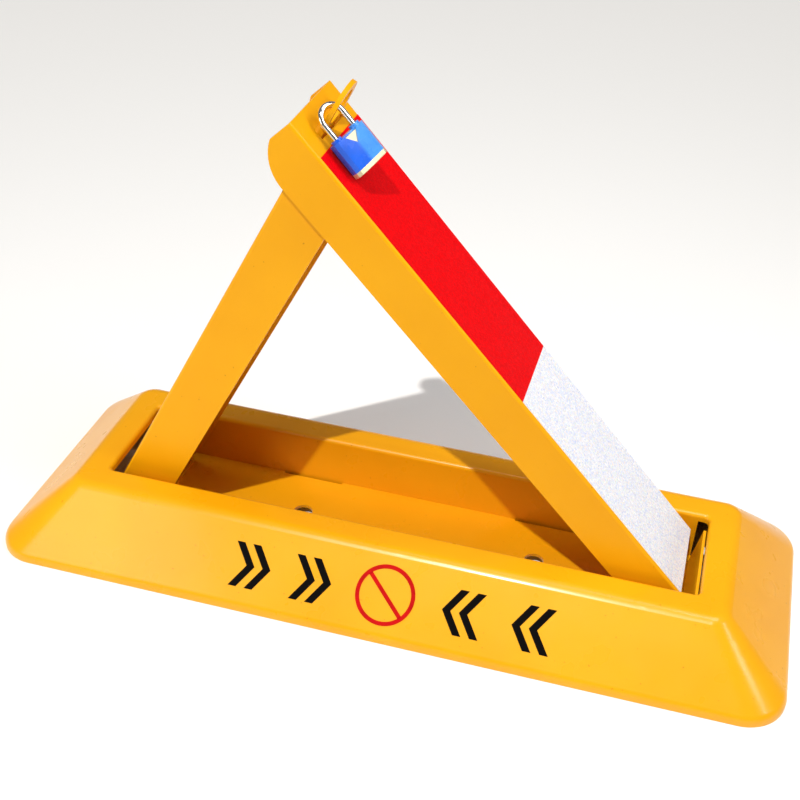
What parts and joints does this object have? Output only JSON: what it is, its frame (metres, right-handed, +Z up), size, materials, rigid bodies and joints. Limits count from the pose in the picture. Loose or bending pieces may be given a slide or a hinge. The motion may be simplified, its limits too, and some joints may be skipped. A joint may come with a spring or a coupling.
{
  "type": "folding parking lock",
  "caption": "Triangular folding parking barrier: a low sloped steel base, a long and a short hinged channel arm, and a padlock through the short arm's tongue",
  "frame": {"origin": "centre of the base cover's footprint on the ground", "axes": "+X along the base towards the long arm's hinge, -Y towards the side the padlock faces, +Z up"},
  "size_m": [0.6, 0.22, 0.3673],
  "materials": {
    "yellow_paint": "satin powder coat",
    "arm_paint": "satin powder coat",
    "zinc_steel": "zinc plated",
    "white_reflective": "glossy reflective tape",
    "red_reflective": "glossy reflective tape",
    "blue_jacket": "glossy moulded plastic",
    "lock_metal": "plated",
    "plug_brass": "machined",
    "shackle_chrome": "polished"
  },
  "bodies": {
    "base": {"base_cover": "yellow_paint", "floor_plate": "yellow_paint", "left_cross_foot": "yellow_paint", "right_cross_foot": "yellow_paint", "right_end_plate": "yellow_paint", "right_hinge_bracket": "yellow_paint", "left_hinge_bracket": "yellow_paint", "long_arm_pin": "zinc_steel", "long_arm_washer_front": "zinc_steel", "long_arm_washer_rear": "zinc_steel", "long_arm_spacer": "zinc_steel", "long_arm_ring": "zinc_steel", "short_arm_pin": "zinc_steel", "short_arm_washer_front": "zinc_steel", "short_arm_washer_rear": "zinc_steel", "short_arm_spacer": "zinc_steel", "short_arm_ring": "zinc_steel"},
    "long_arm": {"long_arm_channel": "arm_paint", "white_tape": "white_reflective", "red_tape": "red_reflective"},
    "short_arm": {"short_arm_channel": "arm_paint", "lock_tongue": "arm_paint"},
    "padlock_hook": {"padlock_shackle": "shackle_chrome"},
    "padlock_case": {"padlock_jacket": "blue_jacket", "padlock_core": "lock_metal", "padlock_base_plate": "lock_metal", "padlock_rivet_1": "lock_metal", "padlock_rivet_2": "lock_metal", "padlock_rivet_3": "lock_metal", "padlock_rivet_4": "lock_metal", "padlock_spring": "zinc_steel", "padlock_latch": "zinc_steel"},
    "padlock_plug": {"padlock_key_plug": "plug_brass"}
  },
  "joints": [
    {"name": "long_arm_hinge", "type": "hinge", "parent": "base", "child": "long_arm", "pos_m": [0.1981, 0, 0.033], "axis": [0, 1, 0], "range_deg": [0, 66]},
    {"name": "short_arm_hinge", "type": "hinge", "parent": "base", "child": "short_arm", "pos_m": [-0.2069, 0, 0.029], "axis": [0, 1, 0], "range_deg": [0, 26.5]},
    {"name": "padlock_lift", "type": "slide", "parent": "long_arm", "child": "padlock_hook", "axis": [0.7322, 0, 0.6811], "range_m": [0, 0.201]},
    {"name": "padlock_release", "type": "slide", "parent": "padlock_hook", "child": "padlock_case", "axis": [0.6811, 0, -0.7322], "range_m": [0, 0.006]},
    {"name": "key_turn", "type": "hinge", "parent": "padlock_case", "child": "padlock_plug", "pos_m": [-0.029, -0.0145, 0.32162], "axis": [0.6811, 0, -0.7322], "range_deg": [0, 90]}
  ],
  "couplings": [
    {"joint": "short_arm_hinge", "follows": "long_arm_hinge", "ratio": 0.4},
    {"joint": "padlock_lift", "follows": "long_arm_hinge", "m_per_rad": 0.1736}
  ]
}
